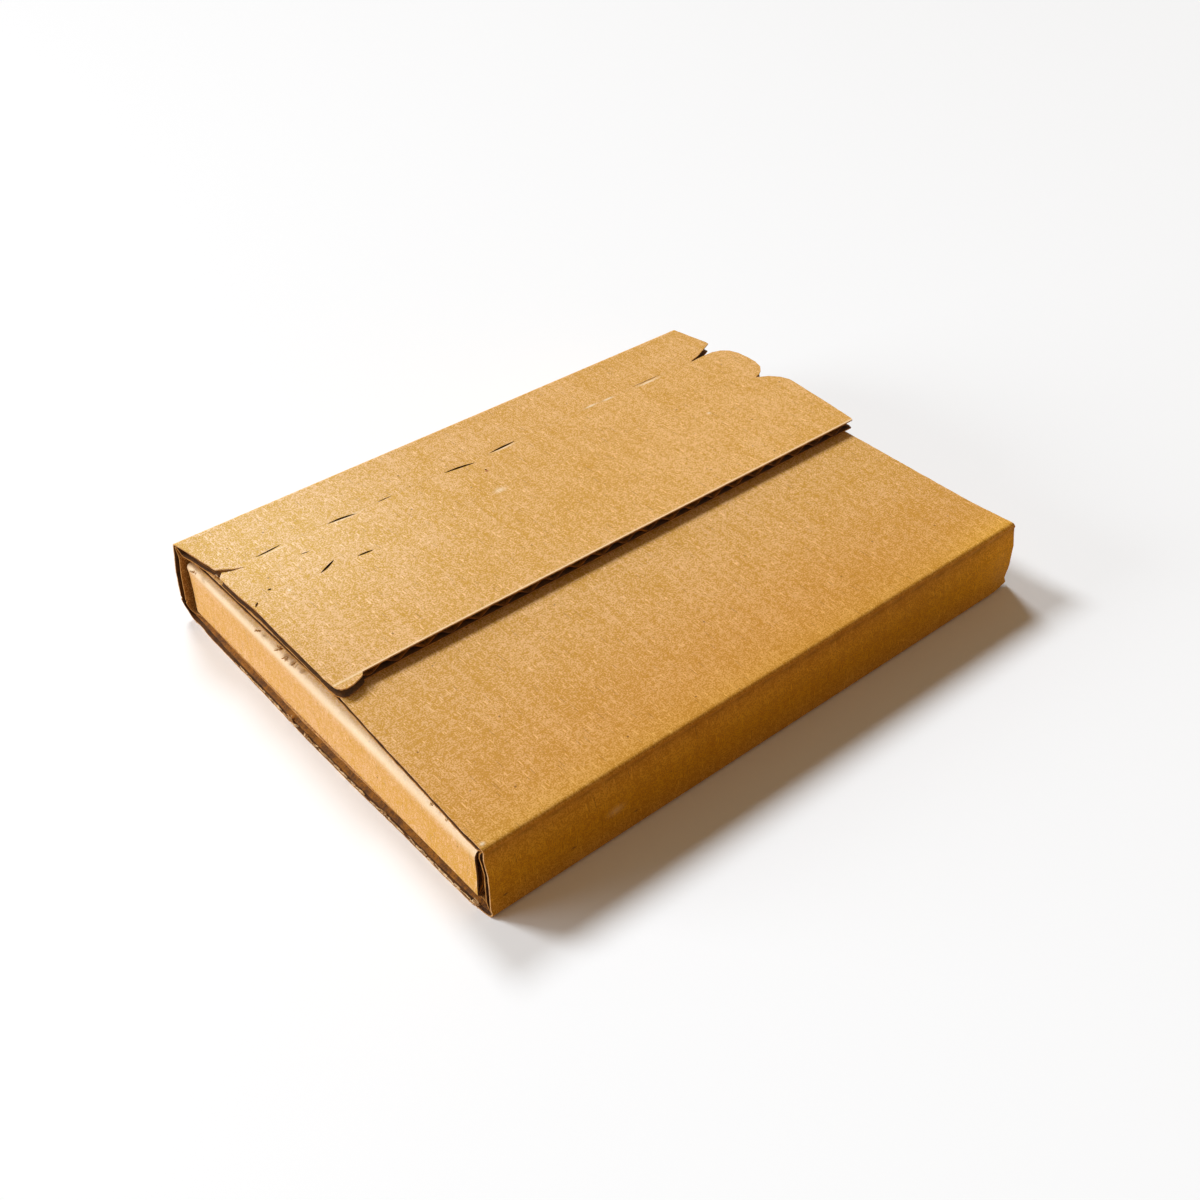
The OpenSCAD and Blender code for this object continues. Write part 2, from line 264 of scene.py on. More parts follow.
def walk(points, step, closed=True, rough=0.0, seed=0.0):
    """Points at most step apart along a polygon, moved sideways a little like a cut edge."""
    out = []
    ends = points[1:] + points[:1] if closed else points[1:]
    for (x0, s0), (x1, s1) in zip(points, ends):
        n = max(1, math.ceil(math.dist((x0, s0), (x1, s1)) / step))
        out += [(x0 + (x1 - x0) * i / n, s0 + (s1 - s0) * i / n) for i in range(n)]
    out = np.array(out)
    if rough:
        fine = slow_noise(out[:, 0], out[:, 1], 1.7, seed) + 0.6 * slow_noise(out[:, 0], out[:, 1], 5.1, seed + 3)
        clean = (out[:, 0] > 0) & (out[:, 1] > top_fold_s) & (out[:, 1] < base_s + 8)
        out[:, 0] += rough * fine * np.where(np.abs(out[:, 0]) > 55, 1, 0) * np.where(clean, 0.15, 1)
    return out


def within(points, polygon):
    """Which of the points lie inside a polygon."""
    x, y = points[:, 0], points[:, 1]
    inside = np.zeros(len(points), bool)
    for (x0, y0), (x1, y1) in zip(polygon, np.roll(polygon, -1, 0)):
        if y0 == y1:
            continue
        crosses = (y0 > y) != (y1 > y)
        inside ^= crosses & (x < x0 + (x1 - x0) * (y - y0) / (y1 - y0))
    return inside


def slit_ring(cut, widen=1.0):
    """The long thin hole of one opened cut, on the flat sheet."""
    ends = [np.array(flap_point(*p)) for p in cut[:3]]
    way = (ends[2] - ends[0]) / np.linalg.norm(ends[2] - ends[0])
    side = np.array([-way[1], way[0]])
    ring = []
    for turn in (1, -1):
        for t in np.linspace(0, 1, 9)[:-1]:
            u = t if turn == 1 else 1 - t
            at = (1 - u) ** 2 * ends[0] + 2 * u * (1 - u) * ends[1] + u ** 2 * ends[2]
            ring.append(at + turn * side * 0.68 * widen * cut[3] * math.sin(math.pi * u) ** 0.75)
    return np.array(ring)


too_close = 0.2     # a grid point nearer than this to a cut edge is left out


def flat_triangles(outline, holes, rows, columns):
    """The flat sheet as points and triangles, with its outline and holes kept as they are cut."""
    rings = [outline, *holes]
    edge_points = np.vstack(rings)
    grid = np.array([(x, s) for s in rows for x in columns])
    grid = grid[within(grid, outline)]
    for hole in holes:
        grid = grid[~within(grid, hole)]
    parts = np.array_split(grid, 40)
    gap = np.concatenate([np.sqrt(((part[:, None] - edge_points[None]) ** 2).sum(2)).min(1) for part in parts])
    grid = grid[gap > too_close]
    points = np.vstack([edge_points, grid])
    ties, first = [], 0
    for ring in rings:
        n = len(ring)
        ties += [(first + i, first + (i + 1) % n) for i in range(n)]
        first += n
    verts, _, faces, _, _, _ = delaunay_2d_cdt([Vector(p) for p in points], ties, [], 0, 1e-5, False)
    flat = np.array([(v.x, v.y) for v in verts])
    faces = np.array(faces)
    centres = flat[faces].mean(1)
    keep = within(centres, outline)
    for hole in holes:
        keep &= ~within(centres, hole)
    faces = faces[keep]
    corner = flat[faces]
    area = np.cross(corner[:, 1] - corner[:, 0], corner[:, 2] - corner[:, 0])
    faces[area < 0] = faces[area < 0][:, ::-1]
    faces = faces[np.abs(area) > 1e-9]
    used = np.unique(faces)
    renumber = np.full(len(flat), -1)
    renumber[used] = np.arange(len(used))
    return flat[used], renumber[faces]


def in_scene(name, data):
    """A new object made of a mesh, a lamp or a camera, linked to the scene."""
    made = bpy.data.objects.new(name, data)
    bpy.context.scene.collection.objects.link(made)
    return made


def cut_sheet(name, outline, holes, rows, columns, face, back_face, materials):
    """A sheet cut to an outline, as a closed shell between two placed faces: the materials
    are those of its face, its cut rim and its back face, which also lines the holes."""
    flat, faces = flat_triangles(outline, holes, rows, columns)
    n = len(flat)
    top, under = face(flat[:, 0], flat[:, 1]), back_face(flat[:, 0], flat[:, 1])
    edges = np.vstack([faces[:, [0, 1]], faces[:, [1, 2]], faces[:, [2, 0]]])
    seen = {(a, b) for a, b in edges.tolist()}
    rim = [(a, b) for a, b in edges.tolist() if (b, a) not in seen]
    polygons = faces[:, ::-1].tolist() + (faces + n).tolist() + [(a, b, b + n, a + n) for a, b in rim]
    mesh = bpy.data.meshes.new(name)
    mesh.from_pydata(np.vstack([top, under]).tolist(), [], polygons)
    first_rim = 2 * len(faces)
    kinds = np.zeros(len(polygons), np.int32)
    kinds[len(faces):first_rim] = 2
    kinds[first_rim:] = 1
    on_hole = {tuple(np.round(p, 3)) for hole in holes for p in hole}
    kinds[[first_rim + i for i, (a, b) in enumerate(rim) if tuple(np.round(flat[a], 3)) in on_hole]] = 2
    mesh.polygons.foreach_set("material_index", kinds)
    mesh.polygons.foreach_set("use_smooth", np.ones(len(polygons), bool))
    sheet_uv = mesh.uv_layers.new(name="flat_sheet")
    loops = np.zeros(len(mesh.loops), np.int32)
    mesh.loops.foreach_get("vertex_index", loops)
    sheet_uv.data.foreach_set("uv", (np.vstack([flat, flat])[loops] * mm).astype(np.float32).ravel())
    ridge = {tuple(sorted((a + k, b + k))) for a, b in rim for k in (0, n)}
    sharp = mesh.attributes.new("sharp_edge", "BOOLEAN", "EDGE")
    sharp.data.foreach_set("value", [tuple(sorted(e.vertices)) in ridge for e in mesh.edges])
    for material in materials:
        mesh.materials.append(material)
    mesh.update()
    return in_scene(name, mesh)


class Socket:
    """A shader socket that takes Python's own arithmetic."""

    def __init__(self, finish, link):
        self.finish = finish
        self.link = link

    def maths(self, operation, *values):
        return self.finish.add("ShaderNodeMath", {"operation": operation}, dict(enumerate(values)))

    def __add__(self, other):
        return self.maths("ADD", self, other)

    def __sub__(self, other):
        return self.maths("SUBTRACT", self, other)

    def __rsub__(self, other):
        return self.maths("SUBTRACT", other, self)

    def __mul__(self, other):
        return self.maths("MULTIPLY", self, other)

    def __truediv__(self, other):
        return self.maths("DIVIDE", self, other)

    __radd__ = __add__
    __rmul__ = __mul__


class Finish:
    """A material or world, and the one way in which its nodes are added."""

    def __init__(self, name, holder=None):
        self.material = holder or bpy.data.materials.new(name)
        self.material.use_nodes = True
        self.tree = self.material.node_tree
        self.tree.nodes.clear()

    def add(self, kind, settings, values, out=0):
        """One node of a kind: its settings first, then the values or links of its sockets."""
        node = self.tree.nodes.new(kind)
        for key, value in settings.items():
            setattr(node, key, value)
        for key, value in values.items():
            if isinstance(value, Socket):
                self.tree.links.new(value.link, node.inputs[key])
            else:
                node.inputs[key].default_value = value
        return Socket(self, node.outputs[out]) if node.outputs else node

    def mix(self, way, first, second, share):
        """The second colour laid over the first one in a way, such as MIX or MULTIPLY."""
        first, second = ((*c, 1) if isinstance(c, tuple) and len(c) == 3 else c for c in (first, second))
        settings = {"data_type": "RGBA", "blend_type": way}
        return self.add("ShaderNodeMix", settings, {0: share, 6: first, 7: second}, 2)

    def blend(self, first, second, share):
        return self.mix("MIX", first, second, share)

    def ramp(self, value, low, high):
        """0 below low, 1 above high, smooth between."""
        settings = {"interpolation_type": "SMOOTHSTEP"}
        return self.add("ShaderNodeMapRange", settings, {0: value, 1: low, 2: high, 3: 0.0, 4: 1.0})

    def hill(self, off):
        """1 where off, a squared distance, is 0, falling off smoothly around it."""
        return self.add("ShaderNodeMath", {"operation": "EXPONENT"}, {0: 0 - off})

    def noise(self, vector, scale, detail=2.0, rough=0.5):
        values = {"Vector": vector, "Scale": scale, "Detail": detail, "Roughness": rough}
        return self.add("ShaderNodeTexNoise", {}, values)

    def stretch(self, vector, size, turn=0.0):
        return self.add("ShaderNodeMapping", {}, {"Vector": vector, "Scale": size, "Rotation": (0, 0, turn)})


# the fibres' turn on the sheet, fineness and share
pale_fibres = ((0.3, 2300, 0.85), (1.2, 2100, 0.75), (1.9, 2200, 0.75), (2.7, 2400, 0.75))
dark_hairs = ((1.1, 2600, 0.4), (2.2, 2900, 0.4))
hair_brown = (0.26, 0.11, 0.02)
bark_brown = (0.17, 0.055, 0.008)


def kraft_paper(name, pale, dark, ribs=0.0, fold_lines_painted_shade=(), spots=(), seed=0.0):
    """Unbleached kraft liner: fine mottled grain, stray pale and dark fibres, bark specks, faint streaks along the
    flutes, fold lines pressed in and painted darker as the shade in them, and marks listed as place, size, share,
    colour and way of mixing, which also carry painted light and shade."""
    finish = Finish(name)
    sheet = finish.add("ShaderNodeUVMap", {"uv_map": "flat_sheet"}, {})
    flat = finish.add("ShaderNodeMapping", {}, {"Vector": sheet, "Location": (seed, 0.37 * seed, 0)})
    parts = finish.add("ShaderNodeSeparateXYZ", {}, {"Vector": sheet})
    along = Socket(finish, parts.link.node.outputs[0])
    down = Socket(finish, parts.link.node.outputs[1])
    grain = finish.noise(flat, 3000, 2.0, 0.6)
    coarse = finish.noise(flat, 900, 2.0, 0.6)
    cloud = finish.noise(flat, 120, 2.0, 0.55)
    wide = finish.noise(flat, 19, 1.0, 0.5)
    streaks = finish.noise(finish.stretch(flat, (520, 60, 1)), 1.0, 2.0, 0.6)
    tone = grain * 0.90 + coarse * 0.36 + cloud * 0.12 + streaks * 0.16 + wide * 0.08
    colour = finish.blend(dark, pale, finish.ramp(tone, 0.765, 0.885))
    fibre_pale = tuple(min(1.0, 1.2 * c + 0.05) for c in pale)
    for turn, fineness, share in pale_fibres:
        fibre = finish.noise(finish.stretch(flat, (fineness, 380, 1), turn), 1.0, 1.0, 0.4)
        colour = finish.blend(colour, fibre_pale, finish.ramp(fibre, 0.695, 0.75) * share)
    for turn, fineness, share in dark_hairs:
        hair = finish.noise(finish.stretch(flat, (fineness, 230, 1), turn), 1.0, 0.0, 0.4)
        colour = finish.blend(colour, hair_brown, finish.ramp(hair, 0.775, 0.81) * share)
    speck = finish.add("ShaderNodeTexVoronoi", {"feature": "F1"}, {"Vector": flat, "Scale": 330.0, "Randomness": 1.0})
    patch = finish.noise(flat, 240, 0.0)
    bark = (1 - finish.ramp(speck, 0.05, 0.10)) * finish.ramp(patch, 0.57, 0.63)
    colour = finish.blend(colour, bark_brown, bark * 0.75)
    height = grain * 0.6 + coarse * 0.7 + streaks * 0.4
    if ribs or fold_lines_painted_shade:
        flute_turn = (along - trough * mm) * (2 * math.pi / (flute * mm))
        wave = finish.add("ShaderNodeMath", {"operation": "COSINE"}, {0: flute_turn})
        height = height + wave * ribs
        for at, width, depth in fold_lines_painted_shade:
            off = (down - at * mm) / (width * mm)
            line = finish.hill(off * off)
            height = height - line * depth * (1.0 + wave * 0.6)
            # painted shade: each fold line is darkened as if in the shade of its groove
            shade = line * min(0.55, depth * 0.11) * (1.0 + wave * 0.3)
            colour = finish.blend(colour, tuple(0.62 * c for c in dark), shade)
    for (x, s), (long, deep), share, shade, way in spots:
        off_x, off_s = (along - x * mm) / (long * mm), (down - s * mm) / (deep * mm)
        colour = finish.mix(way, colour, shade, finish.hill(off_x * off_x + off_s * off_s) * share)
    bump = finish.add("ShaderNodeBump", {}, {"Strength": 0.6, "Distance": 0.00009, "Height": height})
    surface = {"Base Color": colour, "Roughness": 0.62 + grain * 0.1, "Normal": bump, "Specular IOR Level": 0.26}
    shader = finish.add("ShaderNodeBsdfPrincipled", {}, surface)
    finish.add("ShaderNodeOutputMaterial", {}, {"Surface": shader})
    return finish.material


liner_pale = (0.82, 0.485, 0.215)
liner_dark = (0.595, 0.295, 0.03)
light, dirt, red_speck = (1.0, 0.84, 0.60), (0.10, 0.035, 0.006), (0.25, 0.02, 0.01)
everywhere = 400
# whitened paper between the cuts, a few specks and rubs, and pale lines painted along the lower lips of three opened
# cuts as their highlight
marks = [(flap_point(*at), size, share, light) for at, size, share in (
    ((103.0, 15.2), (1.6, 0.28), 0.8), ((108.2, 15.4), (1.5, 0.28), 0.8), ((121.0, 15.8), (3.0, 0.28), 0.7),
    ((10.2, 30.1), (0.35, 0.3), 1.0), ((122.2, 36.2), (0.4, 0.3), 0.8), ((64.5, 29.4), (1.3, 0.8), 0.45),
    ((33.0, 15.95), (3.4, 0.22), 0.6), ((14.5, 16.3), (3.0, 0.2), 0.6), ((76.0, 16.3), (3.2, 0.22), 0.6))]
marks += [
    (flap_point(66.9, 21.4), (0.35, 0.3), 1.0, red_speck), ((-71.9, top_fold_s - 0.5), (0.5, 0.35), 0.7, light),
    ((-44.0, wall_s + 3.0), (1.6, 0.9), 0.3, light), ((-69.5, wall_s + 6.7), (0.5, 0.25), 0.9, dirt),
    ((-54.0, wall_s + 5.8), (0.5, 0.22), 0.8, dirt), ((-39.1, wall_s + 6.5), (0.45, 0.2), 0.8, dirt)]
# broad painted light and shade: the panel warmer near its front, and the flap paler at its back left and warmer at its
# right, as painted sheen from the back lamps that falls off towards the front right; a pale line painted along the
# flap's front edge as its highlight; and painted shade deepening the front wall, least at its right end and along its
# top
painted_light_tints = [
    ((0, top_fold_s), (110, 28), 1.0, (0.91, 0.77, 0.49), "MULTIPLY"),
    ((-60, flap_s + 10), (36, 34), 1.0, (1.18, 1.37, 1.85), "MULTIPLY"),
    ((50, flap_s + 40), (60, 60), 1.0, (1.0, 0.97, 0.85), "MULTIPLY"),
    ((0, flap_point(0, 60.45)[1]), (everywhere, 0.3), 0.8, (0.98, 0.72, 0.42), "MIX"),
    ((0, (front_s + foot_fold_s) / 2), (everywhere, 10), 1.0, (0.92, 0.92, 0.07), "MULTIPLY"),
    ((70, front_s + 6), (16, 9), 1.0, (1.35, 1.4, 1.2), "MULTIPLY"),
    ((0, front_s + 3.4), (everywhere, 1.7), 1.0, (1.14, 1.17, 1.3), "MULTIPLY")]
# the crease under the front fold, and the two lines pressed along the cuts, with painted shade darkening each groove
creases_painted_shade = [(front_s + 0.35, 0.6, 4.5), (flap_s + 15.0, 0.35, 0.5), (flap_s + 28.8, 0.3, 0.4)]
outer_paper = kraft_paper(
    "kraft_outer_liner", liner_pale, liner_dark, ribs=0.25, fold_lines_painted_shade=creases_painted_shade,
    spots=painted_light_tints + [(*mark, "MIX") for mark in marks])
inner_paper = kraft_paper("kraft_inner_liner", (0.66, 0.40, 0.17), (0.36, 0.16, 0.04), seed=0.3)


def cut_paper(name, pale, dark):
    """The fresh cut through the paper: uneven, with pale torn fibres; with dark colours it also gives faces painted
    nearly black as shade.
    """
    finish = Finish(name)
    place = finish.add("ShaderNodeTexCoord", {}, {}, "Object")
    grain = finish.noise(place, 2600, 2.0, 0.6)
    patch = finish.noise(place, 420, 2.0, 0.6)
    colour = finish.blend(dark, pale, finish.ramp(grain * 0.5 + patch * 0.6, 0.42, 0.72))
    bump = finish.add("ShaderNodeBump", {}, {"Strength": 0.6, "Distance": 0.0001, "Height": grain})
    surface = {"Base Color": colour, "Roughness": 0.9 + grain * 0.05, "Normal": bump}
    shader = finish.add("ShaderNodeBsdfPrincipled", {}, surface)
    finish.add("ShaderNodeOutputMaterial", {}, {"Surface": shader})
    return finish.material


cut_edge = cut_paper("kraft_cut_edge", (0.86, 0.56, 0.27), (0.46, 0.22, 0.06))
# painted shade: the liners' inner faces, which also line the outer liner's opened cuts, nearly black as the shade
# inside the board
flute_side_painted_shade = cut_paper("kraft_flute_side", (0.17, 0.06, 0.005), (0.06, 0.02, 0.002))
inner_cut = cut_paper("kraft_inner_cut", (0.62, 0.30, 0.07), (0.34, 0.14, 0.02))

outline = left_edge + right_edge[::-1]
edge_step = 0.8
outer_outline = walk(outline, edge_step, rough=0.07, seed=1.5)


def set_back(s, depth, base_depth):
    """The inner layers end a little inside the outer liner, most of all along the base."""
    places = [base_s - 1, base_s + 2, soft_fold_s - 2, soft_fold_s + 3]
    return np.interp(s, places, [depth, base_depth, base_depth, depth])


shorter = [(x - set_back(s, 0.12, 1.15) * np.sign(x), s) for x, s in outline]
inner_outline = walk(shorter, edge_step, rough=0.06, seed=8.5)
slits = [slit_ring(c) for c in cuts]
wide_slits = [slit_ring(c, 1.6) for c in cuts if c[3] > 0.3]


def spaced(a, b, step):
    """Distances from a up to b, which the next run starts with, at most step apart."""
    n = max(1, math.ceil(abs(b - a) / step))
    return [a + (b - a) * i / n for i in range(n)]


def runs(*ends_and_steps):
    """Rows along the sheet: start, step, next place, step, and so on."""
    out = []
    for i in range(0, len(ends_and_steps) - 2, 2):
        out += spaced(ends_and_steps[i], ends_and_steps[i + 2], ends_and_steps[i + 1])
    return out


# close rows over the folds, wide ones over the flats
wrap_rows = runs(
    panel_s + 1, 5, slope_s, 2, top_fold_s - 3, 0.7, top_fold_s, 0.27, front_s, 0.6, wall_s, 1.2,
    foot_fold_s, 0.27, base_s, 1, base_s + 7, 6, soft_fold_s, 0.7, back_s, 1.2, back_fold_s, 0.27,
    flap_s, 0.7, flap_s + 3, 1.5, wrap_end_s)
wrap_columns = spaced(-75, 75, 2.2)     # they reach past the outline on both sides

wrap_outer = cut_sheet(
    "wrap_outer_liner", outer_outline, slits, wrap_rows, wrap_columns,
    lambda x, s: wrap_place(x, s, 0 * s), lambda x, s: wrap_place(x, s, 0 * s + liner),
    [outer_paper, cut_edge, flute_side_painted_shade])
wrap_inner = cut_sheet(
    "wrap_inner_liner", inner_outline, wide_slits[:2], wrap_rows, wrap_columns,
    lambda x, s: wrap_place(x, s, inner_depth(x, s) - liner), lambda x, s: wrap_place(x, s, inner_depth(x, s)),
    [flute_side_painted_shade, inner_cut, inner_paper])


def new_tree(name, inputs, output):
    """An empty geometry node tree with its sockets, and the one way in which its nodes are added."""
    tree = bpy.data.node_groups.new(name, "GeometryNodeTree")
    for label, kind in inputs:
        tree.interface.new_socket(label, in_out="INPUT", socket_type="NodeSocket" + kind)
    tree.interface.new_socket(output, in_out="OUTPUT", socket_type="NodeSocketGeometry")

    def node(kind, settings=None, values=None):
        made = tree.nodes.new(kind)
        for key, value in (settings or {}).items():
            setattr(made, key, value)
        for key, value in (values or {}).items():
            if isinstance(value, bpy.types.NodeSocket):
                tree.links.new(value, made.inputs[key])
            else:
                made.inputs[key].default_value = value
        return made.outputs

    return tree, node


def fluted_sheet_tree(name):
    """Geometry nodes: a wavy sheet swept along a row of points that carry its ends and its swing."""
    inputs = (("Spine", "Geometry"), ("Side", "Vector"), ("Columns", "Int"), ("Flute length", "Float"),
              ("First trough", "Float"), ("Paper", "Material"))
    tree, node = new_tree(name, inputs, "Sheet")

    def maths(operation, a, b=0.0):
        return node("ShaderNodeMath", {"operation": operation}, {0: a, 1: b})[0]

    def scaled(vector, size):
        return node("ShaderNodeVectorMath", {"operation": "SCALE"}, {0: vector, "Scale": size})[0]

    given = node("NodeGroupInput")
    rows = node("GeometryNodeAttributeDomainSize", {"component": "MESH"}, {0: given["Spine"]})["Point Count"]
    grid = node("GeometryNodeMeshGrid", {}, {"Vertices X": given["Columns"], "Vertices Y": rows})["Mesh"]
    index = node("GeometryNodeInputIndex")[0]
    column = maths("FLOOR", maths("DIVIDE", index, rows))
    row = maths("SUBTRACT", index, maths("MULTIPLY", column, rows))

    def carried(attribute, data_type):
        if attribute == "position":
            value = node("GeometryNodeInputPosition")[0]
        else:
            value = node("GeometryNodeInputNamedAttribute", {"data_type": data_type}, {"Name": attribute})["Attribute"]
        sample = {"Geometry": given["Spine"], "Value": value, "Index": row}
        return node("GeometryNodeSampleIndex", {"data_type": data_type}, sample)[0]

    share = maths("DIVIDE", column, maths("SUBTRACT", given["Columns"], 1.0))
    start, stop = carried("start", "FLOAT"), carried("stop", "FLOAT")
    across = maths("ADD", start, maths("MULTIPLY", share, maths("SUBTRACT", stop, start)))
    flutes_in = maths("DIVIDE", maths("SUBTRACT", across, given["First trough"]), given["Flute length"])
    turn = maths("MULTIPLY", flutes_in, 2 * math.pi)
    swing = maths("MULTIPLY", maths("COSINE", turn), carried("swing", "FLOAT"))
    place = carried("position", "FLOAT_VECTOR")
    moves = (scaled(given["Side"], across), scaled(carried("inward", "FLOAT_VECTOR"), swing),
             scaled(carried("tilt", "FLOAT_VECTOR"), across))
    for move in moves:
        place = node("ShaderNodeVectorMath", {"operation": "ADD"}, {0: place, 1: move})[0]
    placed = node("GeometryNodeSetPosition", {}, {"Geometry": grid, "Position": place})[0]
    smooth = node("GeometryNodeSetShadeSmooth", {}, {"Geometry": placed})[0]
    real = node("GeometryNodeRealizeInstances", {}, {"Geometry": smooth})[0]
    finished = node("GeometryNodeSetMaterial", {}, {"Geometry": real, "Material": given["Paper"]})[0]
    node("NodeGroupOutput", {}, {"Sheet": finished})
    return tree


def plain_mesh(made, name):
    """The evaluated object as a plain mesh object of its own."""
    bpy.context.view_layer.update()
    mesh = bpy.data.meshes.new_from_object(made.evaluated_get(bpy.context.evaluated_depsgraph_get()))
    mesh.name = name
    piece = in_scene(name, mesh)
    bpy.data.objects.remove(made)
    return piece


def carry(mesh, values):
    """Puts named values on a mesh's points."""
    for label, numbers in values.items():
        kind, field = ("FLOAT_VECTOR", "vector") if numbers.ndim == 2 else ("FLOAT", "value")
        numbers = numbers.astype(np.float32).ravel()
        mesh.attributes.new(label, kind, "POINT").data.foreach_set(field, numbers)


def grown(name, mesh, tree, inputs):
    """An object on which a geometry node tree runs, with the tree's inputs set."""
    made = in_scene(name + "_made", mesh)
    nodes = made.modifiers.new("nodes", "NODES")
    nodes.node_group = tree
    sockets = {item.name: item.identifier for item in tree.interface.items_tree if item.in_out == "INPUT"}
    for label, value in inputs.items():
        nodes[sockets[label]] = value
    return made


def fluted_sheet(name, tree, spine, carries, side, columns, first_trough, paper):
    """One sheet of fluted medium between two liners."""
    mesh = bpy.data.meshes.new(name + "_spine")
    mesh.from_pydata((spine * mm).tolist(), [(i, i + 1) for i in range(len(spine) - 1)], [])
    mesh.materials.append(paper)
    mesh.materials.append(cut_edge)
    carry(mesh, carries)
    made = grown(name, mesh, tree, {"Side": side, "Columns": columns, "Flute length": flute * mm,
                                    "First trough": first_trough * mm, "Paper": paper})
    thick = made.modifiers.new("thickness", "SOLIDIFY")
    thick.thickness = medium * mm
    thick.offset = 0
    thick.material_offset_rim = 1
    piece = plain_mesh(made, name)
    # the tree leaves only the paper, and the sheet's rim takes the second material
    if len(piece.data.materials) < 2:
        piece.data.materials.append(cut_edge)
    return piece


def edge_to_edge(outline, s):
    """Where the sheet starts and stops at distance s, on both sides of its middle."""
    lows, highs = [], []
    for at in s:
        low, high = -200.0, 200.0
        for (x0, y0), (x1, y1) in zip(outline, np.roll(outline, -1, 0)):
            if (y0 > at) != (y1 > at):
                x = x0 + (x1 - x0) * (at - y0) / (y1 - y0)
                low, high = (max(low, x), high) if x < 0 else (low, min(high, x))
        lows.append(low)
        highs.append(high)
    return np.array(lows), np.array(highs)


# painted shade: the fluting is coloured nearly black as the shade between the liners
medium_painted_shade = cut_paper("kraft_fluting_painted_shade", (0.34, 0.115, 0.004), (0.10, 0.03, 0.001))
flap_end_s = flap_point(0, 60.6)[1]
medium_rows = np.array(runs(
    0.1, 20, slope_s, 9, top_fold_s - 2, 1, top_fold_s, 0.4, front_s, 1, front_s + 2, 2, foot_fold_s - 2, 1,
    foot_fold_s, 0.4, base_s, 1, base_s + 3, 14, soft_fold_s, 1.2, back_s, 3, back_fold_s - 2, 1,
    back_fold_s, 0.4, flap_s, 3, flap_s + 12, 0.7, flap_s + 40, 6, flap_end_s - 1,
) + [flap_end_s - 1.2, flap_end_s - 0.12])
start, stop = edge_to_edge(outer_outline, medium_rows)
inset = set_back(medium_rows, 0.75, 0.62) + 0.4 * (medium_rows < top_fold_s)
# it stops short of the flap's pressed corner and of the worn right foot
short_left = np.interp(medium_rows, [flap_end_s - 9, flap_end_s - 5], [-80, -66.5])
short_right = np.interp(medium_rows, [front_s, front_s + 2, base_s + 6, base_s + 9], [80, 65, 65, 80])
start = np.maximum(start + inset, short_left)
stop = np.minimum(stop - inset, short_right)
point, inward = follow(wrap_side, wrap_starts, medium_rows)
sag = wrap_sink(0 * medium_rows, medium_rows)
centre_line = point + (wrap_thickness(medium_rows) / 2 + sag)[:, None] * inward
spine = np.column_stack([0 * medium_rows + middle, centre_line])
swing = np.maximum((wrap_thickness(medium_rows) - 2 * liner - medium) / 2, 0.05)
flutes = fluted_sheet_tree("fluted_sheet")
wrap_medium = fluted_sheet(
    "wrap_fluted_medium", flutes, spine,
    {"start": start * mm, "stop": stop * mm, "swing": swing * mm, "tilt": np.zeros((len(swing), 3)),
     "inward": np.column_stack([0 * swing, inward])},
    (1, 0, 0), 351, trough, medium_painted_shade)


def torn_shreds_tree(name):
    """Geometry nodes: a small curled shred of torn paper on each point, along its way and of its size."""
    tree, node = new_tree(name, (("Points", "Geometry"), ("Seed", "Int"), ("Paper", "Material")), "Shreds")

    def carried(label):
        return node("GeometryNodeInputNamedAttribute", {"data_type": "FLOAT_VECTOR"}, {"Name": label})["Attribute"]

    given = node("NodeGroupInput")
    curl = {"Resolution": 5, "Start": (0, 0, 0), "Middle": (0.1, 0.3, 0.55), "End": (0, 0, 1)}
    path = node("GeometryNodeCurveQuadraticBezier", {}, curl)["Curve"]
    strip = node("GeometryNodeCurvePrimitiveQuadrilateral", {}, {"Width": 0.3, "Height": 0.1})["Curve"]
    swept = {"Curve": path, "Profile Curve": strip, "Fill Caps": True}
    shred = node("GeometryNodeCurveToMesh", {}, swept)["Mesh"]
    turned = node("FunctionNodeAlignRotationToVector", {"axis": "Z"}, {"Vector": carried("way")})["Rotation"]
    chance_roll = {2: 0.0, 3: 2 * math.pi, 8: given["Seed"]}
    roll = node("FunctionNodeRandomValue", {"data_type": "FLOAT"}, chance_roll)[1]
    spin = node("FunctionNodeAxisAngleToRotation", {}, {"Axis": (0, 0, 1), "Angle": roll})["Rotation"]
    both = {"Rotation": turned, "Rotate By": spin}
    turned = node("FunctionNodeRotateRotation", {"rotation_space": "LOCAL"}, both)["Rotation"]
    shown = {"Points": given["Points"], "Instance": shred, "Rotation": turned, "Scale": carried("size")}
    placed = node("GeometryNodeInstanceOnPoints", {}, shown)["Instances"]
    real = node("GeometryNodeRealizeInstances", {}, {"Geometry": placed})[0]
    finished = node("GeometryNodeSetMaterial", {}, {"Geometry": real, "Material": given["Paper"]})[0]
    node("NodeGroupOutput", {}, {"Shreds": finished})
    return tree


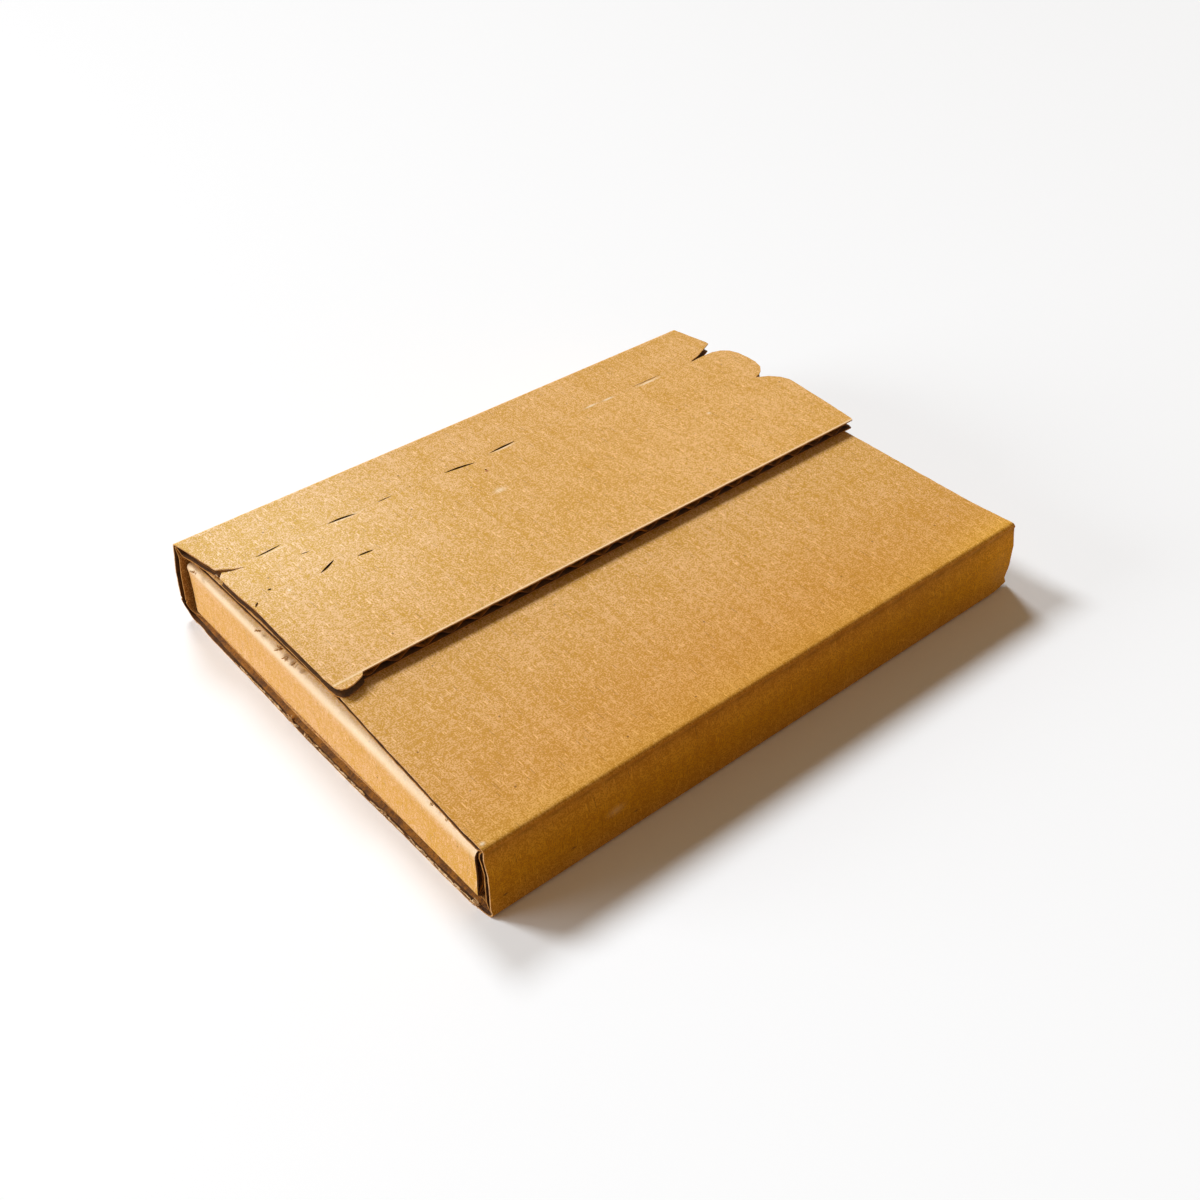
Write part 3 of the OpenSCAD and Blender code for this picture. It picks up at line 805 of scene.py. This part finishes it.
# a torn line along the left cut edge of the base, and tufts: place, reach, number, length, main way
chance = np.random.default_rng(11)
places, ways, sizes = [], [], []
for y in np.arange(-50.5, 33, 0.45):
    if noise.noise(Vector((y / 4, 3.3, 0))) > -0.18:
        edge = np.interp(y, [-50, -42, -30, -10, 8, 27, 33], [-73.3, -73.35, -73.25, -73.37, -73.22, -72.7, -72.6])
        places.append((edge + chance.uniform(-0.08, 0.08), y, 0.4 + chance.uniform(-0.05, 0.12)))
        ways.append((chance.uniform(-0.12, 0.12), chance.choice([-1, 1]), chance.uniform(-0.05, 0.15)))
        sizes.append((0.7, 0.4, chance.uniform(0.7, 1.7)))
tufts = [
    ((-73.1, 10.8, 0.6), 0.5, 12, 1.1, (-0.3, 0.3, 0.7)), ((-73.2, 5.0, 0.5), 0.4, 8, 0.8, (-0.3, -0.4, 0.5)),
    ((-73.2, -22.9, 0.5), 0.5, 8, 0.8, (-0.2, 0.6, 0.3)), ((-73.1, -52.2, 0.5), 0.6, 10, 1.2, (-0.3, 0.6, 0.4)),
    ((-71.5, 21.5, 16.6), 0.4, 5, 0.8, (-0.6, 0.2, 0.3)), ((-71.2, 13.4, 17.0), 0.6, 12, 1.2, (-0.7, 0.2, 0.3)),
    ((-71.6, 10.8, 16.4), 0.5, 9, 1.1, (-0.7, -0.3, 0.1)), ((-71.3, 7.8, 16.8), 0.4, 6, 0.9, (-0.7, 0.0, 0.2)),
    ((-71.1, 38.7, 20.2), 0.4, 5, 0.9, (-0.4, -0.7, 0.1)), ((-72.6, -39.6, 15.9), 0.3, 4, 0.6, (-0.6, 0.4, 0.3)),
    ((-72.8, -44.4, 15.8), 0.3, 4, 0.6, (-0.6, 0.4, 0.3)), ((-72.2, 46.5, 17.2), 0.5, 7, 1.0, (-0.4, -0.5, 0.4)),
]
for at, reach, number, length, way in tufts:
    for _ in range(number):
        places.append(np.array(at) + chance.uniform(-reach, reach, 3) * (0.4, 1, 0.5))
        ways.append(np.array(way) + chance.uniform(-0.6, 0.6, 3))
        sizes.append((chance.uniform(0.5, 1.2), chance.uniform(0.4, 0.9), length * chance.uniform(0.5, 1.1)))
points = bpy.data.meshes.new("wrap_torn_points")
points.from_pydata([(x * mm + middle * mm, y * mm, z * mm) for x, y, z in places], [], [])
carry(points, {"way": np.array(ways), "size": np.array(sizes) * mm})
torn_paper = cut_paper("kraft_torn_fibres", (0.95, 0.72, 0.45), (0.60, 0.34, 0.12))
made = grown("wrap_torn", points, torn_shreds_tree("torn_shreds"), {"Seed": 4, "Paper": torn_paper})
wrap_torn = plain_mesh(made, "wrap_torn_fibres")
within_box = 0.02 * mm
for v in wrap_torn.data.vertices:
    v.co.x = max(v.co.x, cad_box[0][0] + within_box)
    v.co.z = min(max(v.co.z, within_box), cad_box[1][2] - within_box)

for piece in (wrap_outer, wrap_inner, wrap_medium, wrap_torn):
    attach(piece, "root")
    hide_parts("outer_wrap")


# ---- Inner tray -----------------------------------------------------------
# A second sheet of the same board lies in the wrap, glued down on its base.
# Its two ends fold up as end walls and in again over the contents, under the
# top panel. The walls are folded, not glued.

tray_front = -52.15
tray_back = 51.6
tray_out = 72.9
tray_low, tray_high = 14.72, 16.12
tray_mid = (tray_low + tray_high) / 2
tray_tilt = (tray_high - tray_low) / (tray_back - tray_front)
tray_in = 36.9
round_top = 1.9
tray_side = [
    ("flat", (-tray_in, tray_mid), (-tray_out + round_top, tray_mid)),
    ("turn", (-tray_out + round_top, tray_mid - round_top), round_top, 90),
    ("flat", (-tray_out, tray_mid - round_top), (-tray_out, board + tight)),
    ("turn", (-tray_out + tight, board + tight), tight, 180),
    ("flat", (-tray_out + tight, board), (tray_out - tight, board)),
    ("turn", (tray_out - tight, board + tight), tight, 270),
    ("flat", (tray_out, board + tight), (tray_out, tray_mid - round_top)),
    ("turn", (tray_out - round_top, tray_mid - round_top), round_top, 0),
    ("flat", (tray_out - round_top, tray_mid), (tray_in, tray_mid)),
]
tray_starts = part_starts(tray_side)


def tray_lift(s):
    """0 at the floor and 1 at the top folds, which rise with the top panel."""
    return np.interp(s, [tray_starts[2], tray_starts[3], tray_starts[6], tray_starts[7]], [1, 0, 0, 1])


def tray_thickness(s):
    """The tray's board is whole but for its four folds, where it is crushed."""
    t = np.full(len(s), board)
    for i, radius in ((1, round_top), (3, tight), (5, tight), (7, round_top)):
        t = np.minimum(t, pinch(s, tray_starts[i], tray_starts[i + 1], radius))
    return t


def tray_set_in(s):
    """The left end wall stands a little further in towards the back: start and rate."""
    low = np.interp(s, [tray_starts[1], tray_starts[2], tray_starts[4], tray_starts[4] + 9], [0, 1, 1, 0])
    return 0.55 * low, 0.0145 * low


tray_walls = (2, 6)     # the end walls' places in tray_side


def tray_place(y, s, depth):
    """Where a point of the tray's flat sheet comes to lie once it is folded, in metres."""
    point, inward = follow(tray_side, tray_starts, s)
    wall = sum(bump_at(s, (tray_starts[i] + tray_starts[i + 1]) / 2, 3.4) for i in tray_walls)
    sink = 0.04 + wall * (0.12 + 0.14 * slow_noise(y, s, 22, 4.5)) + depth
    at = point + sink[:, None] * inward
    lift = tray_tilt * (y - (tray_front + tray_back) / 2) * tray_lift(s)
    set_in, rate = tray_set_in(s)
    return np.column_stack([at[:, 0] + middle + set_in + rate * y, y, at[:, 1] + lift]) * mm


tray_end_s = tray_starts[-1]
tray_outline = walk([(tray_front, 0.0), (tray_front, tray_end_s), (tray_back, tray_end_s), (tray_back, 0.0)], 0.9)


def tray_runs(fold_step, wall_step, flat_step):
    """Rows along the tray's sheet, close over its folds."""
    out = []
    for i, part in enumerate(tray_side):
        step = fold_step if part[0] == "turn" else wall_step if i in tray_walls else flat_step
        out += spaced(tray_starts[i], tray_starts[i + 1], step)
    return out


# a pale band painted along the rounded tops of the end walls as their highlight
tray_paper = kraft_paper(
    "kraft_tray_liner", (0.87, 0.55, 0.29), (0.73, 0.40, 0.06), seed=0.7,
    spots=[((0, tray_starts[2] - 1.5), (everywhere, 1.7), 0.72, (1.0, 0.82, 0.60), "MIX"),
           ((0, tray_starts[7] + 1.5), (everywhere, 1.7), 0.72, (1.0, 0.82, 0.60), "MIX")])
shaded_cut = cut_paper("kraft_shaded_cut", (0.20, 0.09, 0.02), (0.08, 0.03, 0.008))
# the outline runs in (y, s), the other way round from the wrap's (x, s)
tray_rows = tray_runs(0.3, 1.0, 7)
tray_reach = 53     # the columns reach past the outline at both ends
tray_outer = cut_sheet(
    "tray_outer_liner", tray_outline, [], tray_rows, spaced(-tray_reach, tray_reach, 2.2),
    lambda y, s: tray_place(y, s, 0 * s + liner), lambda y, s: tray_place(y, s, 0 * s),
    [flute_side_painted_shade, shaded_cut, tray_paper])
tray_inner = cut_sheet(
    "tray_inner_liner", tray_outline, [], tray_rows, spaced(-tray_reach, tray_reach, 4.4),
    lambda y, s: tray_place(y, s, tray_thickness(s)), lambda y, s: tray_place(y, s, tray_thickness(s) - liner),
    [inner_paper, shaded_cut, flute_side_painted_shade])
tray_medium_rows = np.array(tray_runs(0.6, 2.5, 20) + [tray_end_s - 0.05])
point, inward = follow(tray_side, tray_starts, tray_medium_rows)
thick = tray_thickness(tray_medium_rows)
lift = tray_tilt * tray_lift(tray_medium_rows)
set_in, rate = tray_set_in(tray_medium_rows)
centre = (tray_front + tray_back) / 2
spine = np.column_stack([point[:, 0] + middle + set_in + inward[:, 0] * (thick / 2 + 0.1), 0 * thick,
                         point[:, 1] + inward[:, 1] * (thick / 2 + 0.1) - lift * centre])
tray_medium = fluted_sheet(
    "tray_fluted_medium", flutes, spine,
    {"start": 0 * thick + (tray_front + 0.02) * mm, "stop": 0 * thick + (tray_back - 0.02) * mm,
     "swing": np.maximum((thick - 2 * liner - medium) / 2, 0.05) * mm, "tilt": np.column_stack([rate, 0 * lift, lift]),
     "inward": np.column_stack([inward[:, 0], 0 * thick, inward[:, 1]])},
    (0, 1, 0), 241, tray_front + 1.4, medium_painted_shade)
for piece in (tray_outer, tray_inner, tray_medium):
    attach(piece, "root")
    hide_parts("inner_tray")


# ---- Floor, light and camera ---------------------------------------------
# A pale studio table, two wide soft lamps behind the box and a low one at its left,
# a faint warm surround, and the camera where the photograph was taken from.

floor_mesh = bpy.data.meshes.new("studio_floor")
floor_mesh.from_pydata([(-3, -3, 0), (3, -3, 0), (3, 3, 0), (-3, 3, 0)], [], [(0, 1, 2, 3)])
floor = in_scene("studio_floor", floor_mesh)
table = Finish("studio_floor")


def seen_directly(finish):
    """1 where the surface is looked at, also in a mirror or through glass; 0 where it lights other things."""
    rays = finish.add("ShaderNodeLightPath", {}, {}, "Is Camera Ray")
    direct = rays
    for kind in ("Is Glossy Ray", "Is Transmission Ray"):
        direct = direct.maths("MAXIMUM", direct, Socket(finish, rays.link.node.outputs[kind]))
    return direct


place = table.add("ShaderNodeTexCoord", {}, {}, "Object")
spot = table.add("ShaderNodeVectorMath", {"operation": "DOT_PRODUCT"}, {0: place, 1: (-0.7, 0.7, 0.0)}, "Value")
white = table.blend((0.98, 0.98, 0.98), (1.0, 1.0, 1.0), table.ramp(spot, -0.25, 0.2))
shown = table.blend((0.60, 0.34, 0.10), white, seen_directly(table))
surface = table.add("ShaderNodeBsdfDiffuse", {}, {"Color": shown})
table.add("ShaderNodeOutputMaterial", {}, {"Surface": surface})
floor_mesh.materials.append(table.material)

lamp_white = (0.855, 0.92, 0.987)
for name, towards, share in (
        ("lamp_back_left", (-0.335, 0.65, 0.655), 0.43), ("lamp_back_right", (0.23, 0.65, 0.69), 0.35)):
    towards = Vector(towards).normalized()
    lamp = bpy.data.lights.new(name, "SUN")
    lamp.energy = share * math.pi / towards.z
    lamp.angle = math.radians(16)
    lamp.color = lamp_white
    made = in_scene(name, lamp)
    made.rotation_mode = "QUATERNION"
    made.rotation_quaternion = towards.to_track_quat("Z", "Y")
    made.location = towards

side_lamp = bpy.data.lights.new("lamp_side", "AREA")
side_lamp.shape = "DISK"
side_lamp.size = 0.8
side_lamp.energy = 10.5
side_lamp.color = lamp_white
side = in_scene("lamp_side", side_lamp)
side.location = (-1.08, 0.6, 0.24)
side.rotation_mode = "QUATERNION"
side.rotation_quaternion = Vector((-1.08, 0.6, 0.23)).to_track_quat("Z", "Y")

surround = Finish("studio_surround", bpy.data.worlds.new("studio_surround"))
glow = surround.blend((0.215, 0.155, 0.095), (0.98, 0.98, 0.98), seen_directly(surround))
surround.add("ShaderNodeOutputWorld", {}, {"Surface": surround.add("ShaderNodeBackground", {}, {"Color": glow})})
bpy.context.scene.world = surround.material

bpy.context.scene.view_settings.view_transform = "Standard"

azimuth, elevation, roll = math.radians(-40.36), math.radians(38.5), math.radians(-0.28)
photo_width, focal_length = 1200, 1473.9    # in the photograph's pixels
distance = 0.3289
slide_right, slide_up = -0.00033, 0.00026   # the box lies this far off the picture's middle
sensor_width = 36
level_part = math.cos(elevation)
backwards = Vector((math.sin(azimuth) * level_part, -math.cos(azimuth) * level_part, math.sin(elevation)))
level = Vector((0, 0, 1)).cross(backwards).normalized()
upright = backwards.cross(level)
right = math.cos(roll) * level + math.sin(roll) * upright
up = -math.sin(roll) * level + math.cos(roll) * upright
photo_camera = bpy.data.cameras.new("photo_camera")
photo_camera.sensor_width = sensor_width
photo_camera.lens = focal_length / photo_width * sensor_width
photo_camera.clip_start = 0.02
photo_camera.clip_end = 20
camera = in_scene("photo_camera", photo_camera)
aim = Vector((middle * mm, -0.3 * mm, 0))
stand = backwards * distance + right * slide_right + up * slide_up + aim
camera.matrix_world = Matrix.Translation(stand) @ Matrix((right, up, backwards)).transposed().to_4x4()
bpy.context.scene.camera = camera
